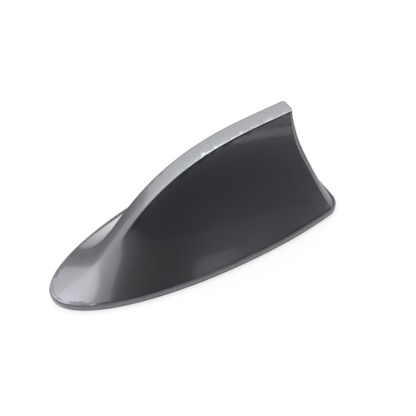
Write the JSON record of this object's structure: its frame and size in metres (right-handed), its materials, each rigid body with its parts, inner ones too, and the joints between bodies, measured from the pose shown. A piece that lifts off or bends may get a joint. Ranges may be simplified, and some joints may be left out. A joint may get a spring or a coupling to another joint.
{
  "type": "shark fin aerial",
  "caption": "Stick-on roof aerial with a glossy fin cover on a rubber rim seal, a taped base plate with a cable outlet, an amplifier board and a coil with a folded top plate",
  "frame": {"origin": "middle of the length and the width, on the roof face at Z = 0", "axes": "+X from the nose to the tail, +Z away from the roof, Y across, with the two sides alike"},
  "size_m": [0.155, 0.0654, 0.0643],
  "materials": {
    "cover_paint": "metallic gloss paint",
    "seal_rubber": "matte",
    "base_plastic": "fine grain",
    "foam_tape": "matte foam",
    "screw_steel": "zinc plated",
    "tinned_sheet": "tinned",
    "circuit_board": "solder mask",
    "chip_body": "moulded",
    "capacitor_ceramic": "fired",
    "ferrite": "sintered",
    "terminal_plastic": "moulded",
    "holder_plastic": "moulded",
    "contact_brass": "bright"
  },
  "bodies": {
    "root": {"fin_cover": "cover_paint", "rim_seal": "seal_rubber", "base_plate": "base_plastic", "adhesive_ring": "foam_tape", "cable_grommet": "seal_rubber", "cover_screws": "screw_steel", "ground_plate": "tinned_sheet", "amplifier_board": "circuit_board", "board_screws": "screw_steel", "shield_can": "tinned_sheet", "amplifier_chip": "chip_body", "chip_capacitors": "capacitor_ceramic", "filter_coils": "ferrite", "cable_terminal": "terminal_plastic", "element_holder": "holder_plastic", "holder_screws": "screw_steel", "aerial_coil": "contact_brass", "top_plate": "tinned_sheet", "feed_clip": "contact_brass", "top_clip": "contact_brass"}
  },
  "joints": []
}
